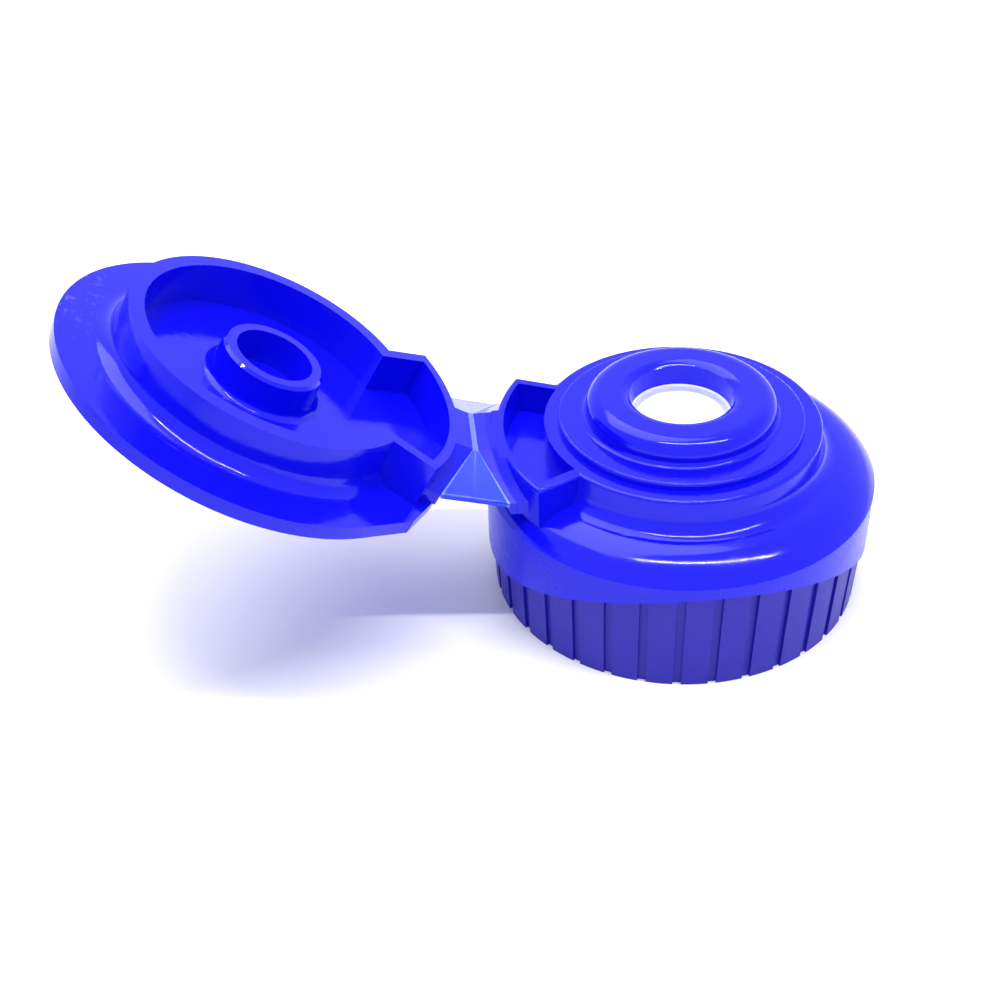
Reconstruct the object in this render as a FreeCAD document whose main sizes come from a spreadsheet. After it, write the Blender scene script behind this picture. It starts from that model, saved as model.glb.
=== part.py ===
"""Flip top dispensing cap: moulded closure, butterfly hinge and lid, with a silicone valve.

Frame: origin on the neck axis at the foot of the skirt, +Z up, hinge towards -X, front towards +X.
The lid is drawn closed, where it seats on the closure, and its Placement then swings it open.
"""
import FreeCAD
import Part
import Sketcher
import math
import os

from FreeCAD import Placement, Rotation, Vector

# Driving dimensions, in millimetres and degrees.
SIZES = {
    # skirt, screwed over a bottle's neck
    "neck_radius": 18.95,
    "neck_corner": 0.8,
    "rib_foot_radius": 20.85,
    "rib_top_radius": 21.2,
    "rib_depth": 0.35,
    "rib_count": 35,
    "rib_phase": 2.9,
    "groove_width": 0.9,
    # smooth band with an arched lower edge
    "band_radius": 21.5,
    "band_top_radius": 21.4,
    "band_top_z": 13.75,
    "arch_crown_z": 12.4,
    "arch_radius": 35.7,
    # shoulder, waist and deck
    "panel_z": 16.3,
    "panel_wall": 1.5,
    "shoulder_curve": 5.5,
    "waist_radius": 15.4,
    "waist_root": 1.9,
    "deck_z": 20.0,
    "deck_radius": 15.2,
    "deck_round": 0.4,
    "deck_wall": 1.1,
    "seat_radius": 13.3,
    "seat_rise": 0.8,
    "seat_round": 0.3,
    # nozzle
    "nozzle_radius": 10.3,
    "nozzle_z": 23.4,
    "nozzle_round": 1.7,
    "nozzle_root": 0.6,
    "orifice_radius": 5.46,
    "orifice_flare": 0.19,
    "lip_width": 1.28,
    "lip_drop": 0.44,
    "lip_curve": 1.6,
    # valve and the ring that holds it
    "valve_seat_z": 20.85,
    "valve_seat_radius": 8.6,
    "valve_collar": 1.5,
    "snap_bead": 0.2,
    "snap_height": 0.5,
    "valve_flange": 1.0,
    "valve_skin": 0.4,
    "valve_head_radius": 4.3,
    "valve_head_drop": 0.45,
    "valve_dish": 0.45,
    "valve_slit": 3.4,
    "slit_width": 0.06,
    "retainer_height": 1.55,
    "retainer_bore": 6.3,
    "fit_gap": 0.03,
    # hinge bay of the closure
    "bay_half_width": 8.75,
    "bay_spread": 0.48,
    "bay_wall": 1.15,
    "bay_inner_radius": 14.8,
    "bay_radius": 19.28,
    "bay_rim": 0.85,
    # lid, in its closed place
    "rim_gap": 0.05,
    "rim_inner_radius": 13.8,
    "rim_width": 1.6,
    "rim_draft": 0.15,
    "lid_floor_z": 24.65,
    "flange_z": 25.0,
    "flange_thickness": 1.55,
    "flange_radius": 20.95,
    "flange_round": 0.7,
    "lid_root": 1.8,
    "lid_crown": 0.4,
    "lid_bay_half_width": 8.5,
    "lid_bay_wall": 1.25,
    "lid_bay_radius": 19.45,
    "lid_bay_rim": 0.95,
    "ear_reach": 17.0,
    "ear_half_width": 13.7,
    "lid_floor_round": 1.2,
    "plug_clearance": 0.1,
    "plug_tip_gap": 0.08,
    "plug_bore": 4.08,
    "plug_chamfer": 0.3,
    "plug_root": 0.9,
    # butterfly hinge
    "hinge_reach": 22.6,
    "hinge_z": 20.58,
    "film_length": 0.5,
    "film_rise": 0.1,
    "film_half_width": 3.5,
    "film_thickness": 0.3,
    "web_half_width": 9.5,
    "web_reach": 19.6,
    "web_drop": 2.9,
    "web_thickness": 0.5,
    "web_gap": 0.03,
    "ledge_depth": 1.4,
    "ledge_clearance": 0.25,
    "open_angle": 149.1,
}

doc = FreeCAD.newDocument("flip_top_cap")
sheet = doc.addObject("Spreadsheet::Sheet", "Sizes")
FAR = 60.0  # well outside the object, for cuts that run clear of it


def fill_sheet():
    """Writes each driving dimension into the sheet under its own name."""
    for row, (name, value) in enumerate(SIZES.items(), start=1):
        sheet.set("A%d" % row, name)
        sheet.set("B%d" % row, str(value))
        sheet.setAlias("B%d" % row, name)
    doc.recompute()


def expr(formula):
    """Turns plain size names in a formula into references to the sheet."""
    text = ""
    word = ""
    for letter in str(formula) + " ":
        if letter.isalnum() or letter in "_.":
            word += letter
            continue
        text += ("Sizes." + word if word in SIZES else word) + letter
        word = ""
    return text.strip()


def size(formula):
    """The value of a size, or of a formula of sizes."""
    return float(sheet.evalExpression(expr(formula)))


# Sketches


def make_body(label):
    body = doc.addObject("PartDesign::Body", label)
    body.Label = label
    return body


def make_sketch(body, name, role, turn=None):
    """A sketch on one of the body's own origin planes, turned about its own upright axis if asked."""
    sketch = body.newObject("Sketcher::SketchObject", name)
    origin_plane = next(item for item in body.Origin.OriginFeatures if item.Role == role)
    sketch.AttachmentSupport = (origin_plane, [""])
    sketch.MapMode = "FlatFace"
    if turn is not None:
        sketch.AttachmentOffset = Placement(Vector(), Rotation(Vector(0, 1, 0), 0))
        sketch.setExpression("AttachmentOffset.Rotation.Angle", expr(turn))
    return sketch


def pin(sketch, edge, end, across, up):
    """Ties one end of an edge to the sketch's origin by two sizes or formulas."""
    for kind, formula, axis in (("DistanceX", across, -2), ("DistanceY", up, -1)):
        value = size(formula)
        if abs(value) < 1e-9:
            sketch.addConstraint(Sketcher.Constraint("PointOnObject", edge, end, axis))
            continue
        if value > 0:
            index = sketch.addConstraint(Sketcher.Constraint(kind, -1, 1, edge, end, value))
            sketch.setExpression("Constraints[%d]" % index, expr(formula))
            continue
        index = sketch.addConstraint(Sketcher.Constraint(kind, edge, end, -1, 1, -value))
        sketch.setExpression("Constraints[%d]" % index, "-(%s)" % expr(formula))


def add_arc(sketch, start, finish, radius, turn):
    """An arc from start to finish; turn is 1 where it runs anticlockwise and -1 where clockwise."""
    chord = finish - start
    left = Vector(-chord.y, chord.x, 0).normalize()
    rise = math.sqrt(size(radius) ** 2 - chord.Length ** 2 / 4)
    centre = (start + finish) * 0.5 + left * rise * turn
    ends = (start, finish) if turn > 0 else (finish, start)
    angles = [math.atan2(end.y - centre.y, end.x - centre.x) for end in ends]
    circle = Part.Circle(centre, Vector(0, 0, 1), size(radius))
    edge = sketch.addGeometry(Part.ArcOfCircle(circle, *angles))
    index = sketch.addConstraint(Sketcher.Constraint("Radius", edge, size(radius)))
    sketch.setExpression("Constraints[%d]" % index, expr(radius))
    return (1, 2) if turn > 0 else (2, 1)


def outline(sketch, corners):
    """A closed outline through corners (across, up), or (across, up, radius, turn) where an arc leaves."""
    spots = [Vector(size(corner[0]), size(corner[1]), 0) for corner in corners]
    ends = []
    for index, corner in enumerate(corners):
        start = spots[index]
        finish = spots[(index + 1) % len(spots)]
        if len(corner) > 2:
            ends.append(add_arc(sketch, start, finish, corner[2], corner[3]))
            continue
        sketch.addGeometry(Part.LineSegment(start, finish))
        ends.append((1, 2))
    for index, corner in enumerate(corners):
        after = (index + 1) % len(corners)
        sketch.addConstraint(
            Sketcher.Constraint("Coincident", index, ends[index][1], after, ends[after][0]))
        pin(sketch, index, ends[index][0], corner[0], corner[1])
    return sketch


def ring_sketch(body, name, radius):
    """A circle on the body's level plane, about the neck axis."""
    sketch = make_sketch(body, name, "XY_Plane")
    sketch.addGeometry(Part.Circle(Vector(), Vector(0, 0, 1), size(radius)))
    sketch.addConstraint(Sketcher.Constraint("Coincident", 0, 3, -1, 1))
    index = sketch.addConstraint(Sketcher.Constraint("Radius", 0, size(radius)))
    sketch.setExpression("Constraints[%d]" % index, expr(radius))
    return sketch


# Features


def turned(body, kind, name, corners):
    """A full revolve about the neck axis: kind is Revolution to add or Groove to cut."""
    sketch = outline(make_sketch(body, name + "Profile", "XZ_Plane"), corners)
    feature = body.newObject("PartDesign::" + kind, name)
    feature.Profile = sketch
    feature.ReferenceAxis = (sketch, ["V_Axis"])
    feature.Angle = 360
    doc.recompute()
    return feature


def pad(body, name, sketch, foot, top):
    """A straight block over a level sketch, from one height to another."""
    sketch.setExpression("AttachmentOffset.Base.z", expr(foot))
    feature = body.newObject("PartDesign::Pad", name)
    feature.Profile = sketch
    feature.setExpression("Length", expr("(%s) - (%s)" % (top, foot)))
    doc.recompute()
    return feature


def cut_through(body, name, sketch):
    """Cuts a sketch's area right through the body, both ways."""
    feature = body.newObject("PartDesign::Pocket", name)
    feature.Profile = sketch
    feature.Type = "ThroughAll"
    feature.Midplane = True
    doc.recompute()
    return feature


def combine(body, name, other, kind):
    """Fuses or cuts the body with another one."""
    feature = body.newObject("PartDesign::Boolean", name)
    feature.setObjects([other])
    feature.Type = kind
    doc.recompute()
    return feature


def round_edges(body, name, radius, wanted):
    """Rounds the edges of the body's last feature that the test picks."""
    base = body.Tip
    names = ["Edge%d" % (i + 1) for i, edge in enumerate(base.Shape.Edges) if wanted(edge)]
    feature = body.newObject("PartDesign::Fillet", name)
    feature.Base = (base, names)
    feature.setExpression("Radius", expr(radius))
    doc.recompute()
    return feature


def near(one, other):
    return abs(one - other) < 1e-4


def is_hoop(edge, radius, height):
    """True for a circle about the neck axis with this radius at this height."""
    curve = edge.Curve
    if curve.TypeId != "Part::GeomCircle":
        return False
    centred = near(curve.Center.x, 0) and near(curve.Center.y, 0)
    return centred and near(curve.Radius, size(radius)) and near(curve.Center.z, size(height))


def lies_at(edge, height):
    """True for an edge that stays at one height."""
    level = size(height)
    return near(edge.BoundBox.ZMin, level) and near(edge.BoundBox.ZMax, level)


# Shapes shared by the closure and the lid


def wedge_width(half_width, reach):
    """Half the width of the hinge bay at a distance from the neck axis."""
    return "%s + bay_spread * (%s - bay_inner_radius)" % (half_width, reach)


def outside_wedge(body, name, half_width):
    """Everything beside the wedge that opens towards the hinge, cut away."""
    near_reach = "bay_inner_radius - 6"
    far_reach = "hinge_reach + 4"
    near_width = wedge_width(half_width, near_reach)
    far_width = wedge_width(half_width, far_reach)
    corners = [
        ("-(%s)" % near_reach, near_width),
        ("-(%s)" % far_reach, far_width),
        ("-(%s)" % far_reach, FAR),
        (FAR, FAR),
        (FAR, -FAR),
        ("-(%s)" % far_reach, -FAR),
        ("-(%s)" % far_reach, "-(%s)" % far_width),
        ("-(%s)" % near_reach, "-(%s)" % near_width),
    ]
    cut_through(body, name, outline(make_sketch(body, name + "Plan", "XY_Plane"), corners))


def bay_sector(label, half_width, inner_radius, outer_radius, foot, top):
    """A block shaped like the hinge bay: a ring's sector between two walls that spread apart."""
    body = make_body(label)
    corners = [(inner_radius, foot), (outer_radius, foot), (outer_radius, top), (inner_radius, top)]
    turned(body, "Revolution", label + "Ring", corners)
    outside_wedge(body, label + "Sides", half_width)
    return body


def hinge_ledge(label, film_z, slope, root_radius, deep):
    """The ledge that carries the films: level across the middle film, then sloping along each web.

    slope is -1 on the closure, where the ledge falls away, and 1 on the lid, where it rises.
    """
    body = make_body(label)
    sign = "%d * " % slope
    tip_z = "%s + %sweb_drop" % (film_z, sign)
    low_film = "%s + %s" % (film_z, deep)
    low_tip = "%s + %s" % (tip_z, deep)
    front = [
        ("-web_half_width", tip_z),
        ("-film_half_width", film_z),
        ("film_half_width", film_z),
        ("web_half_width", tip_z),
        ("web_half_width", low_tip),
        ("film_half_width", low_film),
        ("-film_half_width", low_film),
        ("-web_half_width", low_tip),
    ]
    sketch = outline(make_sketch(body, label + "Front", "YZ_Plane"), front)
    sketch.setExpression("AttachmentOffset.Base.z", expr("-hinge_reach"))
    feature = body.newObject("PartDesign::Pad", label + "Bar")
    feature.Profile = sketch
    feature.setExpression("Length", expr("hinge_reach - web_reach + 3"))
    doc.recompute()
    edge_reach = "hinge_reach - film_length / 2"
    plan = [
        ("-web_reach", "web_half_width"),
        ("-(%s)" % edge_reach, "film_half_width"),
        ("-(%s)" % edge_reach, "-film_half_width"),
        ("-web_reach", "-web_half_width"),
        ("-web_reach", -FAR),
        (-FAR, -FAR),
        (-FAR, FAR),
        ("-web_reach", FAR),
    ]
    cut_through(body, label + "Nose", outline(make_sketch(body, label + "Plan", "XY_Plane"), plan))
    cut_through(body, label + "Root", ring_sketch(body, label + "RootRing", root_radius))
    return body


# The pieces


def band_ring():
    """The smooth band, with its lower edge arched from side to side."""
    body = make_body("band_ring")
    turned(body, "Revolution", "BandRing", [
        ("rib_foot_radius - rib_depth - 0.8", "arch_crown_z - 9"),
        ("band_radius", "arch_crown_z - 9"),
        ("band_top_radius", "band_top_z"),
        ("rib_foot_radius - rib_depth - 0.8", "band_top_z"),
    ])
    spring_z = "arch_crown_z - arch_radius + sqrt(arch_radius ^ 2 - (band_radius + 2) ^ 2)"
    arch = [
        ("band_radius + 2", spring_z, "arch_radius", 1),
        ("-(band_radius + 2)", spring_z),
        ("-(band_radius + 2)", -1),
        ("band_radius + 2", -1),
    ]
    cut_through(body, "BandArch", outline(make_sketch(body, "BandArchProfile", "XZ_Plane"), arch))
    return body


def cut_grip(body):
    """The grip: narrow upright grooves all round the skirt."""
    corners = [
        ("rib_foot_radius - rib_depth", -1),
        ("rib_foot_radius + 2", -1),
        ("rib_foot_radius + 2", "arch_crown_z + 0.4"),
        ("rib_top_radius - rib_depth", "arch_crown_z + 0.4"),
    ]
    sketch = outline(make_sketch(body, "GripProfile", "XZ_Plane", "rib_phase"), corners)
    groove = body.newObject("PartDesign::Pocket", "GripGroove")
    groove.Profile = sketch
    groove.Midplane = True
    groove.setExpression("Length", expr("groove_width"))
    doc.recompute()
    pattern = body.newObject("PartDesign::PolarPattern", "GripGrooves")
    pattern.Originals = [groove]
    pattern.Axis = (sketch, ["V_Axis"])
    pattern.Angle = 360
    pattern.setExpression("Occurrences", expr("rib_count"))
    body.Tip = pattern
    doc.recompute()


def make_cap_body():
    body = make_body("cap_body")
    turned(body, "Revolution", "Outside", [
        (0, 0),
        ("rib_foot_radius", 0),
        ("rib_top_radius", "arch_crown_z"),
        ("rib_top_radius", "band_top_z - 0.6"),
        ("band_top_radius", "band_top_z", "shoulder_curve", 1),
        ("waist_radius + waist_root", "panel_z", "waist_root", -1),
        ("waist_radius", "panel_z + waist_root"),
        ("deck_radius", "deck_z"),
        ("seat_radius", "deck_z"),
        ("seat_radius", "deck_z + seat_rise"),
        ("nozzle_radius + nozzle_root", "deck_z + seat_rise", "nozzle_root", -1),
        ("nozzle_radius", "deck_z + seat_rise + nozzle_root"),
        ("nozzle_radius", "nozzle_z - nozzle_round", "nozzle_round", 1),
        ("nozzle_radius - nozzle_round", "nozzle_z"),
        (0, "nozzle_z"),
    ])
    round_edges(body, "DeckEdge", "deck_round", lambda edge: is_hoop(edge, "deck_radius", "deck_z"))
    round_edges(body, "SeatEdge", "seat_round",
                lambda edge: is_hoop(edge, "seat_radius", "deck_z + seat_rise"))
    cut_grip(body)
    combine(body, "JoinBand", band_ring(), "Fuse")
    add_hinge_bay(body)
    cut_inside(body)
    return body


def add_hinge_bay(body):
    """The open bay beside the deck, its curved wall, and the ledge of the hinge outside it."""
    outer_width = "bay_half_width + bay_wall * sqrt(1 + bay_spread ^ 2)"
    block = bay_sector("bay_block", outer_width, "seat_radius - 1", "bay_radius + bay_rim",
                       "panel_z - panel_wall - 1.3", "deck_z")
    round_edges(block, "BayRim", "deck_round",
                lambda edge: lies_at(edge, "deck_z") and edge.BoundBox.XMin < -size("deck_radius"))
    combine(body, "JoinBay", block, "Fuse")
    hollow = bay_sector("bay_hollow", "bay_half_width", "bay_inner_radius", "bay_radius",
                        "panel_z", "deck_z + 1")
    combine(body, "HollowBay", hollow, "Cut")
    ledge = hinge_ledge("hinge_ledge", "hinge_z - film_rise", -1, "bay_radius + bay_rim / 2",
                        "-ledge_depth")
    sketch = ring_sketch(ledge, "LidClearanceRing", "lid_bay_radius + lid_bay_rim + ledge_clearance")
    sketch.setExpression("AttachmentOffset.Base.z", expr("deck_z"))
    relief = ledge.newObject("PartDesign::Pocket", "LidClearance")
    relief.Profile = sketch
    relief.Reversed = True
    relief.Length = 5
    doc.recompute()
    combine(body, "JoinLedge", ledge, "Fuse")


def cut_inside(body):
    """The neck bore, the hollow under the deck, the valve's seat with its snap bead, and the mouth."""
    ceiling_z = "panel_z - panel_wall"
    hub_z = "deck_z - deck_wall"
    ring_foot_z = "valve_seat_z - valve_flange - retainer_height"
    bead_z = ring_foot_z + " - snap_height"
    lip_z = "nozzle_z - lip_drop"
    lip_radius = "orifice_radius + orifice_flare"
    turned(body, "Groove", "Inside", [
        (0, -1),
        ("neck_radius", -1),
        ("neck_radius", ceiling_z + " - neck_corner", "neck_corner", 1),
        ("neck_radius - neck_corner", ceiling_z),
        ("seat_radius + 0.3", ceiling_z),
        ("seat_radius + 0.3", hub_z),
        ("valve_seat_radius + valve_collar + 0.2", hub_z),
        ("valve_seat_radius + valve_collar", bead_z),
        ("valve_seat_radius", bead_z),
        ("valve_seat_radius - snap_bead", bead_z + " + snap_height / 2"),
        ("valve_seat_radius", ring_foot_z),
        ("valve_seat_radius", "valve_seat_z"),
        ("orifice_radius", "valve_seat_z"),
        (lip_radius, lip_z, "lip_curve", -1),
        (lip_radius + " + lip_width", "nozzle_z"),
        (lip_radius + " + lip_width", "nozzle_z + 1"),
        (0, "nozzle_z + 1"),
    ])


def make_valve():
    """The silicone valve: a flange, a rolled sleeve and a dished head with a cross slit."""
    body = make_body("silicone_valve")
    flange_z = "valve_seat_z"
    head_z = "valve_seat_z - valve_head_drop"
    sleeve_z = "valve_seat_z - valve_flange - 0.5"
    sleeve_radius = "valve_head_radius + valve_skin * 2.2"
    turned(body, "Revolution", "ValveTurned", [
        (0, head_z + " - valve_dish"),
        ("valve_head_radius", head_z),
        ("valve_head_radius + valve_skin", head_z),
        ("valve_head_radius + valve_skin", sleeve_z + " + valve_skin"),
        (sleeve_radius, sleeve_z + " + valve_skin"),
        (sleeve_radius, flange_z),
        ("valve_seat_radius - fit_gap", flange_z),
        ("valve_seat_radius - fit_gap", flange_z + " - valve_flange"),
        (sleeve_radius + " + valve_skin", flange_z + " - valve_flange"),
        (sleeve_radius + " + valve_skin", sleeve_z),
        ("valve_head_radius", sleeve_z),
        ("valve_head_radius", head_z + " - valve_skin * 2"),
        (0, head_z + " - valve_dish - valve_skin"),
    ])
    half = "valve_slit / 2"
    corners = [("-" + half, "-slit_width / 2"), (half, "-slit_width / 2"),
               (half, "slit_width / 2"), ("-" + half, "slit_width / 2")]
    sketch = outline(make_sketch(body, "SlitPlan", "XY_Plane"), corners)
    slit = cut_through(body, "Slit", sketch)
    pattern = body.newObject("PartDesign::PolarPattern", "CrossSlit")
    pattern.Originals = [slit]
    pattern.Axis = (sketch, ["N_Axis"])
    pattern.Angle = 180
    pattern.Occurrences = 2
    body.Tip = pattern
    doc.recompute()
    return body


def make_retainer():
    """The snap ring that clamps the valve's flange against its seat."""
    body = make_body("valve_retainer")
    top = "valve_seat_z - valve_flange"
    foot = top + " - retainer_height"
    turned(body, "Revolution", "RetainerTurned", [
        ("retainer_bore + 0.4", foot),
        ("valve_seat_radius - fit_gap", foot),
        ("valve_seat_radius - fit_gap", top),
        ("retainer_bore", top),
        ("retainer_bore", foot + " + 0.4"),
    ])
    return body


def make_lid():
    """The lid: a flange, a rim that seats on the deck, a bay over the hinge bay, and the plug."""
    body = make_body("flip_lid")
    rim_z = "deck_z + rim_gap"
    rim_outer = "rim_inner_radius + rim_width"
    wall_foot = rim_outer + " + rim_draft"
    flange_top = "flange_z + flange_thickness"
    crown_curve = "(flange_radius ^ 2 + lid_crown ^ 2) / (2 * lid_crown)"
    turned(body, "Revolution", "LidOutside", [
        (0, rim_z),
        (rim_outer, rim_z),
        (wall_foot, "flange_z - lid_root", "lid_root", -1),
        (wall_foot + " + lid_root", "flange_z"),
        ("flange_radius", "flange_z"),
        ("flange_radius", flange_top, crown_curve, 1),
        (0, flange_top + " + lid_crown"),
    ])
    add_ears(body)
    add_lid_bay(body)
    turned(body, "Groove", "LidHollow", [
        (0, rim_z + " - 1"),
        ("rim_inner_radius", rim_z + " - 1"),
        ("rim_inner_radius", "lid_floor_z"),
        (0, "lid_floor_z"),
    ])
    hollow = bay_sector("lid_bay_hollow", "lid_bay_half_width", "rim_inner_radius - 2",
                        "lid_bay_radius", rim_z + " - 1", "lid_floor_z")
    combine(body, "HollowLidBay", hollow, "Cut")
    ledge = hinge_ledge("lid_ledge", "hinge_z + film_rise", 1, "lid_bay_radius + lid_bay_rim / 2",
                        "ledge_depth")
    combine(body, "JoinLidLedge", ledge, "Fuse")
    add_plug(body)
    swing = Rotation(Vector(0, 1, 0), -size("open_angle"))
    pivot = Vector(-size("hinge_reach"), 0, size("hinge_z"))
    body.Placement = Placement(Vector(), swing, pivot)
    return body


def add_ears(body):
    """The flange's two shoulders, where its edge leaves the round to meet the hinge."""
    ear = math.hypot(size("ear_reach"), size("ear_half_width"))
    corner_turn = math.degrees(math.atan2(size("ear_half_width"), size("ear_reach")))
    touch = math.radians(corner_turn + math.degrees(math.acos(size("flange_radius") / ear)))
    touch_reach = "%.6f * flange_radius" % math.cos(touch)
    touch_width = "%.6f * flange_radius" % math.sin(touch)
    corners = [
        ("-(%s)" % touch_reach, touch_width),
        ("-ear_reach", "ear_half_width"),
        ("-(lid_bay_radius + 0.25)", "web_half_width - 0.8"),
        ("-(lid_bay_radius + 0.25)", "-(web_half_width - 0.8)"),
        ("-ear_reach", "-ear_half_width"),
        ("-(%s)" % touch_reach, "-(%s)" % touch_width),
    ]
    sketch = outline(make_sketch(body, "EarPlan", "XY_Plane"), corners)
    pad(body, "Ears", sketch, "flange_z", "flange_z + flange_thickness")


def add_lid_bay(body):
    outer_width = "lid_bay_half_width + lid_bay_wall * sqrt(1 + bay_spread ^ 2)"
    block = bay_sector("lid_bay_block", outer_width, "rim_inner_radius", "lid_bay_radius + lid_bay_rim",
                       "deck_z + rim_gap", "flange_z + flange_thickness")
    combine(body, "JoinLidBay", block, "Fuse")


def add_plug(body):
    """The plug that fills the nozzle's mouth and rests over the valve."""
    tip_z = "valve_seat_z + plug_tip_gap"
    tip_radius = "orifice_radius - plug_clearance"
    root_radius = "orifice_radius + orifice_flare - plug_clearance"
    turned(body, "Revolution", "Plug", [
        ("plug_bore", tip_z),
        (tip_radius + " - plug_chamfer", tip_z),
        (tip_radius, tip_z + " + plug_chamfer"),
        (root_radius, "lid_floor_z - plug_root", "plug_root", -1),
        (root_radius + " + plug_root", "lid_floor_z"),
        (root_radius + " + plug_root", "lid_floor_z + 0.3"),
        ("plug_bore", "lid_floor_z + 0.3"),
    ])


def make_hinge():
    """The thin films that bend: one across the middle and a web on each side, as they stand open."""
    pivot = Vector(-size("hinge_reach"), 0, size("hinge_z"))
    swing = Placement(Vector(), Rotation(Vector(0, 1, 0), -size("open_angle")), pivot)
    half_film = size("film_length") / 2
    rise = size("film_rise")
    gap = size("web_gap")
    film_edge = Vector(pivot.x + half_film, size("film_half_width"), pivot.z)
    web_tip = Vector(-size("web_reach"), size("web_half_width"), pivot.z)

    def across(spot, drop):
        """The two ends of a film line: on the closure's ledge, and just short of the lid's."""
        cap_end = Vector(spot.x, spot.y, spot.z - rise - drop)
        span = swing.multVec(Vector(spot.x, spot.y, spot.z + rise + drop)) - cap_end
        return cap_end, cap_end + span * (1 - gap / span.Length)

    def sheet_of(corners, thickness):
        face = Part.Face(Part.makePolygon(corners + corners[:1]))
        normal = face.normalAt(0, 0)
        down = -1 if normal.z > 0 else 1
        return face.extrude(normal * down * thickness)

    def mirrored(spot):
        return Vector(spot.x, -spot.y, spot.z)

    cap_edge, lid_edge = across(film_edge, 0)
    cap_tip, lid_tip = across(web_tip, size("web_drop"))
    web = [cap_edge, cap_tip, lid_tip, lid_edge]
    film = [cap_edge, lid_edge, mirrored(lid_edge), mirrored(cap_edge)]
    near_web = sheet_of(web, size("web_thickness"))
    far_web = sheet_of([mirrored(spot) for spot in web], size("web_thickness"))
    middle = sheet_of(film, size("film_thickness"))
    hinge = doc.addObject("Part::Feature", "hinge_web")
    hinge.Label = "hinge_web"
    hinge.Shape = middle.fuse([near_web, far_web]).removeSplitter()
    return hinge


def check_all(pieces):
    """Stops before anything is written if a feature failed or a piece is not a sound solid."""
    for item in doc.Objects:
        if "Invalid" in item.State or "Error" in item.State:
            raise RuntimeError("%s failed: %s" % (item.Name, item.State))
    for piece in pieces:
        if piece.Shape.isNull() or not piece.Shape.isValid() or not piece.Shape.Solids:
            raise RuntimeError("%s is not a sound solid" % piece.Label)


def main():
    fill_sheet()
    pieces = [make_cap_body(), make_lid(), make_valve(), make_retainer(), make_hinge()]
    doc.recompute()
    check_all(pieces)
    os.makedirs("parts", exist_ok=True)
    for piece in pieces:
        piece.Shape.exportStep("parts/%s.step" % piece.Label)
        box = piece.Shape.BoundBox
        print("%s: %d solid, %.1f mm3, x %.2f..%.2f y %.2f..%.2f z %.2f..%.2f" % (
            piece.Label, len(piece.Shape.Solids), piece.Shape.Volume,
            box.XMin, box.XMax, box.YMin, box.YMax, box.ZMin, box.ZMax))


main()
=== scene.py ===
"""The looks of the flip top cap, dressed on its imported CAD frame."""
import math

import bpy
from mathutils import Matrix, Vector
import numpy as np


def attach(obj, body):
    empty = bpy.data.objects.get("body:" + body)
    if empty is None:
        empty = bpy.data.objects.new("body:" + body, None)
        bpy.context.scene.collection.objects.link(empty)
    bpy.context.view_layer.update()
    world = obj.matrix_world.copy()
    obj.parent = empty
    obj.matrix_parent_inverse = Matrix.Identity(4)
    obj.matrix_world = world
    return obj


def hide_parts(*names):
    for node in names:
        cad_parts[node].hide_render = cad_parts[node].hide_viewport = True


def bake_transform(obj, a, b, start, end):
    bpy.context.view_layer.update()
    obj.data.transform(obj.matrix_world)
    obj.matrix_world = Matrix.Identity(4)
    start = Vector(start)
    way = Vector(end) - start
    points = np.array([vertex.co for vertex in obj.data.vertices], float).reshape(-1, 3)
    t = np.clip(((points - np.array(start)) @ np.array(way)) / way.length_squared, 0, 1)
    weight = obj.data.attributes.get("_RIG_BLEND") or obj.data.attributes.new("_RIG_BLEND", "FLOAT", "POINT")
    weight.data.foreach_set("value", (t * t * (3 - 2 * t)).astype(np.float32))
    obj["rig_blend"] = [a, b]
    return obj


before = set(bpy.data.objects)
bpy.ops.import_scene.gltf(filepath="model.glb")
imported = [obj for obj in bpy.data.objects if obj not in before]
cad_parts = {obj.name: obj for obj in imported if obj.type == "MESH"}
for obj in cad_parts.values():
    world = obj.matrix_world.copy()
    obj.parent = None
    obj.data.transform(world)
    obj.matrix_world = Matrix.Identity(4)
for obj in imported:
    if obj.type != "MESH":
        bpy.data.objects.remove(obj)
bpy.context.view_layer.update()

MM = 0.001
WORLD_LIGHT = 0.7

# Camera, in millimetres in the frame of the part
CAMERA_AT = Vector((-27.52, -115.93, 99.39))
CAMERA_LOOK = Vector((0.0479, 0.7724, -0.6333))
CAMERA_ROLL = math.radians(-2.915)
CAMERA_LENS = 46.71
CAMERA_SENSOR = 36
CAMERA_SHIFT_Y = 0.0456
CAMERA_CLIP_START = 0.01

# Colours
BLUE = (0.003, 0.003, 0.74, 1)
BLUE_DARK = (0.004, 0.003, 0.5, 1)
# Painted shade: the ribs are the same plastic, darkened for the shade in their grooves and on their upright
# face
RIB_SHADE_BLUE = (0.014, 0.009, 0.36, 1)
FILM_BLUE = (0.006, 0.06, 0.86, 1)
FILM_BLUE_DARK = (0.004, 0.02, 0.8, 1)
FILM_WHITE = (0.3, 0.55, 0.95, 1)
SCUFF_WHITE = (0.4, 0.42, 0.7, 1)
SILICONE_WHITE = (0.9, 0.9, 0.97, 1)
SILICONE_SHADE = (0.68, 0.68, 0.9, 1)
NATURAL_WHITE = (0.85, 0.86, 0.92, 1)
FLOOR_WHITE = (0.9, 0.9, 0.9, 1)

# Finishes
PLASTIC_IOR = 1.49
DECK_ROUGHNESS = 0.11
BAND_ROUGHER = 0.15
RIB_ROUGHER = 0.34
LID_ROUGHNESS = 0.09
SCUFF_ROUGHER = 0.35

# Places on the closure, in millimetres: the smooth band, its arched lower edge, and the ribs under it
ARCH_CROWN_Z = 12.4
ARCH_RISE = 7.2
BAND_RADIUS = 21.5
BAND_START = 21.1
BAND_FULL = 21.4
RIB_START = 20.2
RIB_FULL = 20.3

# The scuffed stretch of the lid's edge, in millimetres
SCUFF_X = (-57.5, -62.5)
SCUFF_Y = (-8, 6)

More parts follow.
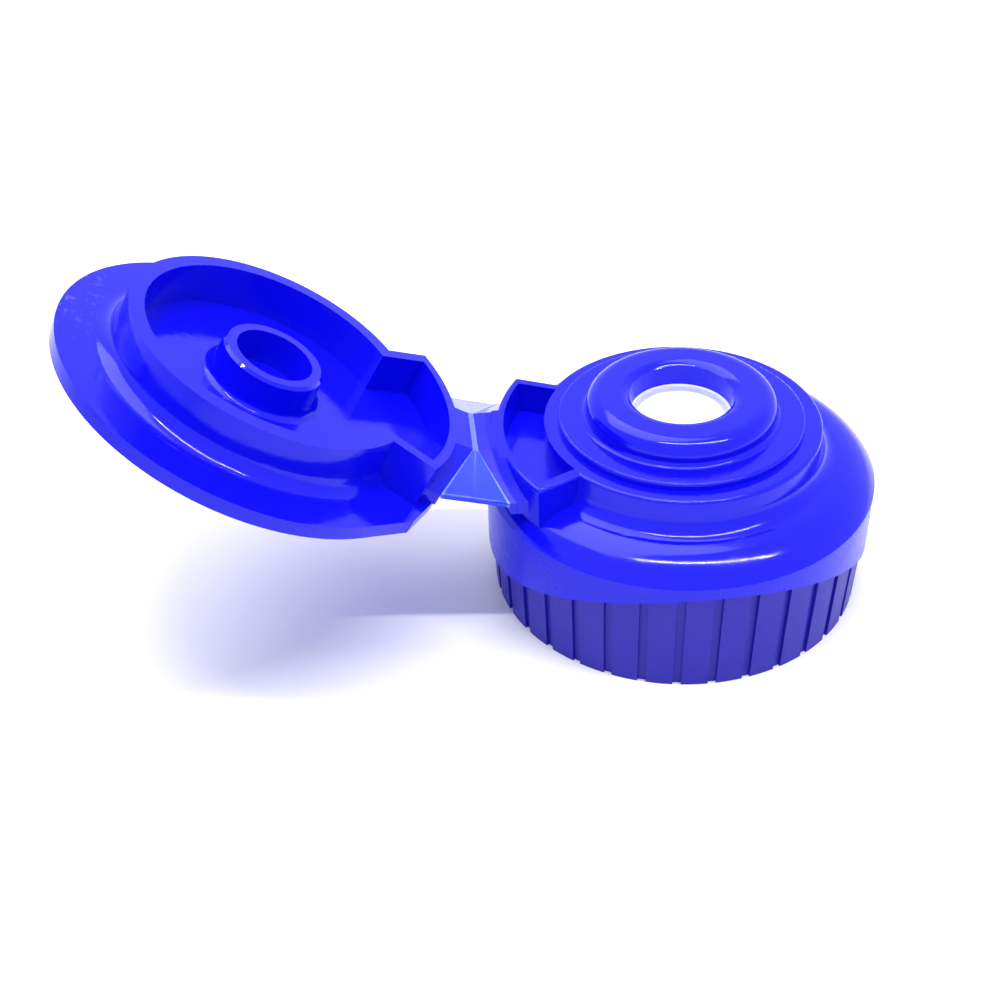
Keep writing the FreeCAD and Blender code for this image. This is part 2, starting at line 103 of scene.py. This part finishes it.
# The hinge, in millimetres as it stands open: film lines on the closure, mirrored on the lid about the pivot
PIVOT = Vector((-22.6, 0, 20.58))
OPEN_ANGLE = math.radians(149.1)
HALF_FILM = 0.25
FILM_RISE = 0.1
FILM_HALF_WIDTH = 3.5
FILM_THICKNESS = 0.34
WEB_HALF_WIDTH = 9.5
WEB_REACH = 19.6
WEB_DROP = 2.9
WEB_THICKNESS = 0.5
WEB_STEP_DEPTH = 0.05
WEB_STEP_SHARE = 0.52
FILM_COLUMNS = 76
FILM_ROWS = 20

# The thread ridge inside the neck, in millimetres
THREAD_TURNS = 1.25
THREAD_PITCH = 4.23
THREAD_START_Z = 3.0
THREAD_ROOT_RADIUS = 18.97
THREAD_HEIGHT = 1.1
THREAD_HALF_BASE = 1.0
THREAD_CREST_POWER = 0.7
THREAD_TAPER_SHARE = 0.06
THREAD_LEAST_TAPER = 0.02
THREAD_STEPS = 150
THREAD_SECTION = 7

# Lamps, in metres and watts, and the floor
SOFT_LAMP = {"at": (-0.12, 0.2, 0.5), "size": (0.5, 0.4), "power": 2.2}
ROW_LAMPS = {"count": 40, "middle": (0.1, -0.1, 0.5), "length": 0.44, "lean": -0.06,
             "size": 0.005, "power": 2.2}
FLOOR_HALF = 1.5


def add_camera():
    """The camera at the photograph's viewing angle."""
    data = bpy.data.cameras.new("camera")
    data.lens = CAMERA_LENS
    data.sensor_width = CAMERA_SENSOR
    data.shift_y = CAMERA_SHIFT_Y
    data.clip_start = CAMERA_CLIP_START
    camera = bpy.data.objects.new("camera", data)
    bpy.context.collection.objects.link(camera)
    forward = CAMERA_LOOK.normalized()
    right = forward.cross(Vector((0, 0, 1))).normalized()
    up = right.cross(forward)
    rolled_right = right * math.cos(CAMERA_ROLL) + up * math.sin(CAMERA_ROLL)
    rolled_up = up * math.cos(CAMERA_ROLL) - right * math.sin(CAMERA_ROLL)
    turn = Matrix((rolled_right, rolled_up, -forward)).transposed().to_4x4()
    camera.matrix_world = Matrix.Translation(CAMERA_AT * MM) @ turn
    bpy.context.scene.camera = camera


# Materials


class Nodes:
    """A material's node tree, with short calls for adding and joining nodes."""

    def __init__(self, name):
        self.material = bpy.data.materials.new(name)
        self.material.use_nodes = True
        self.tree = self.material.node_tree
        self.shader = self.tree.nodes["Principled BSDF"]

    def add(self, kind, **settings):
        node = self.tree.nodes.new(kind)
        for name, value in settings.items():
            setattr(node, name, value)
        return node

    def join(self, source, target):
        self.tree.links.new(source, target)

    def fill(self, socket, value):
        if isinstance(value, bpy.types.NodeSocket):
            self.join(value, socket)
        else:
            socket.default_value = value

    def math(self, operation, first, second=0.0, third=0.0, clamp=False):
        node = self.add("ShaderNodeMath", operation=operation, use_clamp=clamp)
        for socket, value in zip(node.inputs, (first, second, third)):
            self.fill(socket, value)
        return node.outputs[0]

    def ramp(self, value, low, high):
        """0 below low, 1 above high, smooth between them; low above high turns it round."""
        node = self.add("ShaderNodeMapRange", interpolation_type="SMOOTHSTEP")
        self.fill(node.inputs["Value"], value)
        node.inputs["From Min"].default_value = min(low, high)
        node.inputs["From Max"].default_value = max(low, high)
        node.inputs["To Min"].default_value = 0 if low < high else 1
        node.inputs["To Max"].default_value = 1 if low < high else 0
        return node.outputs["Result"]

    def mix(self, share, first, second):
        node = self.add("ShaderNodeMix", data_type="RGBA")
        self.fill(node.inputs["Factor"], share)
        self.fill(node.inputs["A"], first)
        self.fill(node.inputs["B"], second)
        return node.outputs["Result"]

    def noise(self, scale, detail=2.0, roughness=0.5, stretch=(1, 1, 1)):
        """Noise fixed to the object, its scale in features a metre."""
        coords = self.add("ShaderNodeTexCoord")
        mapping = self.add("ShaderNodeMapping")
        mapping.inputs["Scale"].default_value = stretch
        node = self.add("ShaderNodeTexNoise")
        node.inputs["Scale"].default_value = scale
        node.inputs["Detail"].default_value = detail
        node.inputs["Roughness"].default_value = roughness
        self.join(coords.outputs["Object"], mapping.inputs["Vector"])
        self.join(mapping.outputs["Vector"], node.inputs["Vector"])
        return node.outputs["Fac"]

    def place(self):
        """The point's X, Y and Z in the part's own frame."""
        coords = self.add("ShaderNodeTexCoord")
        split = self.add("ShaderNodeSeparateXYZ")
        self.join(coords.outputs["Object"], split.inputs[0])
        return split.outputs

    def bump(self, height, distance, strength=1.0, under=None):
        node = self.add("ShaderNodeBump")
        node.inputs["Distance"].default_value = distance
        self.fill(node.inputs["Strength"], strength)
        self.join(height, node.inputs["Height"])
        if under is not None:
            self.join(under, node.inputs["Normal"])
        return node.outputs["Normal"]

    def set(self, **values):
        for name, value in values.items():
            self.fill(self.shader.inputs[name.replace("_", " ")], value)


def place_in_mm(nodes):
    """X, Y and Z in millimetres."""
    return [nodes.math("MULTIPLY", axis, 1000) for axis in nodes.place()]


def axis_distance(nodes, x, y):
    """The distance from the neck axis."""
    return nodes.math("SQRT", nodes.math("ADD", nodes.math("POWER", x, 2), nodes.math("POWER", y, 2)))


def plastic_finish(nodes, colour, roughness, height):
    """The moulded finish shared by the blue pieces: faint flow clouding, and a very fine grain."""
    cloud = nodes.noise(scale=140, detail=4, roughness=0.6, stretch=(1, 1, 2.5))
    nodes.set(Base_Color=nodes.mix(nodes.math("MULTIPLY", cloud, 0.35), colour, BLUE_DARK))
    smudge = nodes.ramp(nodes.noise(scale=260, detail=5, roughness=0.62), low=0.46, high=0.72)
    nodes.set(Roughness=nodes.math("MULTIPLY_ADD", smudge, 0.07, roughness))
    nodes.set(IOR=PLASTIC_IOR, Specular_IOR_Level=0.3)
    grain = nodes.bump(nodes.noise(scale=5200), distance=0.000012, strength=0.22)
    relief = nodes.bump(height, distance=0.00004, strength=0.35, under=grain)
    nodes.join(relief, nodes.shader.inputs["Normal"])


def closure_plastic():
    """Ultramarine polypropylene: matte ribs painted a darker blue for shade, a satin band, and a glossy
    deck.
    """
    nodes = Nodes("closure_plastic")
    x, y, z = place_in_mm(nodes)
    radius = axis_distance(nodes, x, y)
    share = nodes.math("DIVIDE", x, BAND_RADIUS)
    arch = nodes.math("MULTIPLY_ADD", nodes.math("POWER", share, 2), -ARCH_RISE, ARCH_CROWN_Z)
    below = nodes.ramp(nodes.math("SUBTRACT", z, arch), low=0.05, high=-0.15)
    rib = nodes.math("MULTIPLY", below, nodes.ramp(radius, RIB_START, RIB_FULL))
    above = nodes.math("SUBTRACT", 1.0, below)
    band = nodes.math("MULTIPLY", nodes.ramp(radius, BAND_START, BAND_FULL), above)
    # Painted shade: the rib region is mixed towards the darker blue
    colour = nodes.mix(rib, BLUE, RIB_SHADE_BLUE)
    roughness = nodes.math("MULTIPLY_ADD", rib, RIB_ROUGHER, DECK_ROUGHNESS)
    roughness = nodes.math("MULTIPLY_ADD", band, BAND_ROUGHER, roughness)
    texture = nodes.math("MULTIPLY", nodes.noise(scale=2600, detail=4, roughness=0.7), rib)
    plastic_finish(nodes, colour, roughness, texture)
    return nodes.material


def lid_plastic():
    """The lid's ultramarine: glossy inside, with whitened scuffs along the flange's outer edge."""
    nodes = Nodes("lid_plastic")
    x, y, _ = place_in_mm(nodes)
    scuff_place = nodes.math("MULTIPLY", nodes.ramp(x, *SCUFF_X), nodes.ramp(y, *SCUFF_Y))
    speckle = nodes.ramp(nodes.noise(scale=900, detail=6, roughness=0.75), low=0.52, high=0.7)
    scuff = nodes.math("MULTIPLY", speckle, scuff_place)
    colour = nodes.mix(nodes.math("MULTIPLY", scuff, 0.4), BLUE, SCUFF_WHITE)
    roughness = nodes.math("MULTIPLY_ADD", scuff, SCUFF_ROUGHER, LID_ROUGHNESS)
    plastic_finish(nodes, colour, roughness, nodes.noise(scale=1100, detail=3))
    return nodes.material


def film_plastic():
    """The thin webs: lighter, a little light comes through them, whitened where they bend."""
    nodes = Nodes("hinge_film")
    fold = nodes.add("ShaderNodeAttribute", attribute_name="fold").outputs["Fac"]
    off_middle = nodes.math("ABSOLUTE", nodes.math("SUBTRACT", fold, 0.5))
    crease = nodes.ramp(off_middle, low=0.44, high=0.5)
    speckle = nodes.ramp(nodes.noise(scale=1800, detail=4, roughness=0.7), low=0.35, high=0.75)
    stress = nodes.math("MULTIPLY", crease, nodes.math("MULTIPLY_ADD", speckle, 0.5, 0.5))
    cloud = nodes.mix(nodes.noise(scale=320, detail=4, roughness=0.6), FILM_BLUE, FILM_BLUE_DARK)
    nodes.set(Base_Color=nodes.mix(stress, cloud, FILM_WHITE))
    nodes.set(Roughness=0.22, IOR=PLASTIC_IOR, Specular_IOR_Level=0.35, Transmission_Weight=0.25)
    grain = nodes.bump(nodes.noise(scale=2200, detail=3), distance=0.00003, strength=0.3)
    nodes.join(grain, nodes.shader.inputs["Normal"])
    return nodes.material


def silicone(name, colour, roughness):
    """Milky silicone or natural plastic, with faint moulding rings about the neck axis."""
    nodes = Nodes(name)
    x, y, _ = place_in_mm(nodes)
    ring = nodes.math("SINE", nodes.math("MULTIPLY", axis_distance(nodes, x, y), 5.2))
    cloud = nodes.math("MULTIPLY", nodes.noise(scale=420, detail=4), 0.5)
    shade = nodes.math("MULTIPLY_ADD", ring, 0.12, cloud)
    nodes.set(Base_Color=nodes.mix(shade, colour, SILICONE_SHADE))
    nodes.set(Roughness=roughness, Subsurface_Weight=0.25, Subsurface_Scale=0.002)
    nodes.join(nodes.bump(ring, distance=0.00003, strength=0.4), nodes.shader.inputs["Normal"])
    return nodes.material


# Pieces


def make_piece(name, points, faces, material):
    """A smooth mesh from points in millimetres, with its finish."""
    mesh = bpy.data.meshes.new(name)
    mesh.from_pydata([Vector(point) * MM for point in points], [], faces)
    mesh.validate()
    piece = bpy.data.objects.new(name, mesh)
    bpy.context.collection.objects.link(piece)
    for face in mesh.polygons:
        face.use_smooth = True
    mesh.materials.append(material)
    return piece


def thread_points():
    """Cross-sections of the ridge along its helix, each with a rounded crest, tapered at both ends."""
    points = []
    for step in range(THREAD_STEPS + 1):
        along = step / THREAD_STEPS
        turn = along * THREAD_TURNS * 2 * math.pi
        taper = min(1, along / THREAD_TAPER_SHARE, (1 - along) / THREAD_TAPER_SHARE)
        height = THREAD_HEIGHT * max(taper, THREAD_LEAST_TAPER)
        for index in range(THREAD_SECTION):
            side = 2 * index / (THREAD_SECTION - 1) - 1
            reach = THREAD_ROOT_RADIUS - height * math.cos(side * math.pi / 2) ** THREAD_CREST_POWER
            level = THREAD_START_Z + THREAD_PITCH * along * THREAD_TURNS + side * THREAD_HALF_BASE
            points.append((reach * math.cos(turn), reach * math.sin(turn), level))
    return points


def add_thread(material):
    """The thread ridge inside the neck."""
    section = THREAD_SECTION
    faces = []
    for step in range(THREAD_STEPS):
        low, high = step * section, (step + 1) * section
        for index in range(section):
            after = (index + 1) % section
            faces.append((low + index, high + index, high + after, low + after))
    last = THREAD_STEPS * section
    faces.append(tuple(range(section)))
    faces.append(tuple(reversed(range(last, last + section))))
    piece = make_piece("thread_ridge", thread_points(), faces, material)
    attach(piece, "closure")


def film_ends(width):
    """The closure's and the lid's end of the film at this distance along the hinge."""
    share = max(0, abs(width) - FILM_HALF_WIDTH) / (WEB_HALF_WIDTH - FILM_HALF_WIDTH)
    reach = PIVOT.x + HALF_FILM
    reach += (-WEB_REACH - reach) * share
    drop = FILM_RISE + WEB_DROP * share
    turn = Matrix.Rotation(-OPEN_ANGLE, 3, "Y")
    cap_end = Vector((reach, width, PIVOT.z - drop))
    lid_end = turn @ (Vector((reach, width, PIVOT.z + drop)) - PIVOT) + PIVOT
    return cap_end, lid_end


def film_grid():
    """The film's upper and lower points, and how far each lies from the closure's line to the lid's."""
    points, folds = [], []
    for side in (0, 1):
        for column in range(FILM_COLUMNS + 1):
            width = WEB_HALF_WIDTH * (2 * column / FILM_COLUMNS - 1)
            cap_end, lid_end = film_ends(width)
            down = (lid_end - cap_end).normalized().cross(Vector((0, 1, 0))).normalized()
            if down.z > 0:
                down = -down
            thickness = WEB_THICKNESS if abs(width) > FILM_HALF_WIDTH else FILM_THICKNESS
            for row in range(FILM_ROWS + 1):
                share = row / FILM_ROWS
                step = WEB_STEP_DEPTH if share < WEB_STEP_SHARE else 0
                points.append(cap_end.lerp(lid_end, share) + down * (thickness * side + step * (1 - side)))
                folds.append(share)
    return points, folds


def film_faces():
    """The two sides of the film, and the rim that joins them."""
    row_length = FILM_ROWS + 1
    layer = (FILM_COLUMNS + 1) * row_length
    faces = []
    for column in range(FILM_COLUMNS):
        for row in range(FILM_ROWS):
            first = column * row_length + row
            quad = (first, first + 1, first + row_length + 1, first + row_length)
            faces.append(quad)
            faces.append(tuple(layer + corner for corner in reversed(quad)))
    rim = [column * row_length for column in range(FILM_COLUMNS + 1)]
    rim += [FILM_COLUMNS * row_length + row for row in range(1, FILM_ROWS + 1)]
    rim += [column * row_length + FILM_ROWS for column in reversed(range(FILM_COLUMNS))]
    rim += list(reversed(range(1, FILM_ROWS)))
    for corner, after in zip(rim, rim[1:] + rim[:1]):
        faces.append((corner, layer + corner, layer + after, after))
    return faces


def add_hinge_film(material):
    """The film and its two webs as one thin sheet that bends between the closure and the lid."""
    points, folds = film_grid()
    piece = make_piece("hinge_film", points, film_faces(), material)
    shades = piece.data.attributes.new("fold", "FLOAT", "POINT")
    for index, fold in enumerate(folds):
        shades.data[index].value = fold
    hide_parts("hinge_web")
    cap_end, lid_end = film_ends(0)
    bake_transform(piece, "closure", "lid", start=tuple(cap_end * MM), end=tuple(lid_end * MM))
    # Each point turns by its own share of the way between the two film lines, which aren't straight
    weights = piece.data.attributes["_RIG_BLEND"]
    for index, fold in enumerate(folds):
        weights.data[index].value = fold * fold * (3 - 2 * fold)


def dress(node, material):
    """Gives every material slot of a CAD node this material."""
    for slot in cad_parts[node].material_slots:
        slot.material = material


def add_floor():
    """A pale floor that shows white to the camera and still takes the object's shadow."""
    mesh = bpy.data.meshes.new("floor")
    corners = [(-FLOOR_HALF, -FLOOR_HALF, 0), (FLOOR_HALF, -FLOOR_HALF, 0),
               (FLOOR_HALF, FLOOR_HALF, 0), (-FLOOR_HALF, FLOOR_HALF, 0)]
    mesh.from_pydata(corners, [], [(0, 1, 2, 3)])
    floor = bpy.data.objects.new("floor", mesh)
    bpy.context.collection.objects.link(floor)
    nodes = Nodes("floor")
    nodes.set(Base_Color=FLOOR_WHITE, Roughness=0.6)
    floor.data.materials.append(nodes.material)


def add_world():
    """Even studio light; the camera, gloss and clear pieces see plain white beyond the floor."""
    world = bpy.data.worlds.new("world")
    bpy.context.scene.world = world
    world.use_nodes = True
    tree = world.node_tree
    background = tree.nodes["Background"]
    background.inputs["Color"].default_value = (1, 1, 1, 1)
    path = tree.nodes.new("ShaderNodeLightPath")
    seen = path.outputs["Is Camera Ray"]
    for name in ("Is Glossy Ray", "Is Transmission Ray"):
        either = tree.nodes.new("ShaderNodeMath")
        either.operation = "MAXIMUM"
        tree.links.new(seen, either.inputs[0])
        tree.links.new(path.outputs[name], either.inputs[1])
        seen = either.outputs[0]
    strength = tree.nodes.new("ShaderNodeMath")
    strength.operation = "MULTIPLY_ADD"
    tree.links.new(seen, strength.inputs[0])
    strength.inputs[1].default_value = 1 - WORLD_LIGHT
    strength.inputs[2].default_value = WORLD_LIGHT
    tree.links.new(strength.outputs[0], background.inputs["Strength"])


def add_lamp_row(count, middle, length, lean, size, power):
    """A row of small lamps, which shows as dotted lines in the glossy rounds of the part."""
    for index in range(count):
        share = index / (count - 1) - 0.5
        at = (middle[0] + length * share, middle[1] + lean * share, middle[2])
        add_lamp("row_lamp_%02d" % index, at, (size, size), power / count)


def add_lamp(name, at, size, power):
    """A square-edged area lamp that points at the foot of the part."""
    data = bpy.data.lights.new(name, "AREA")
    data.shape = "RECTANGLE"
    data.size, data.size_y = size
    data.energy = power
    lamp = bpy.data.objects.new(name, data)
    bpy.context.collection.objects.link(lamp)
    lamp.location = at
    lamp.rotation_euler = (-Vector(at)).to_track_quat("-Z", "Y").to_euler()


add_camera()
add_floor()
add_world()
add_lamp("soft", **SOFT_LAMP)
add_lamp_row(**ROW_LAMPS)
closure = closure_plastic()
dress("cap_body", closure)
dress("flip_lid", lid_plastic())
film = film_plastic()
dress("hinge_web", film)
dress("silicone_valve", silicone("silicone", SILICONE_WHITE, roughness=0.32))
dress("valve_retainer", silicone("natural_plastic", NATURAL_WHITE, roughness=0.4))
add_thread(closure)
add_hinge_film(film)

scene = bpy.context.scene
scene.view_settings.view_transform = "Standard"
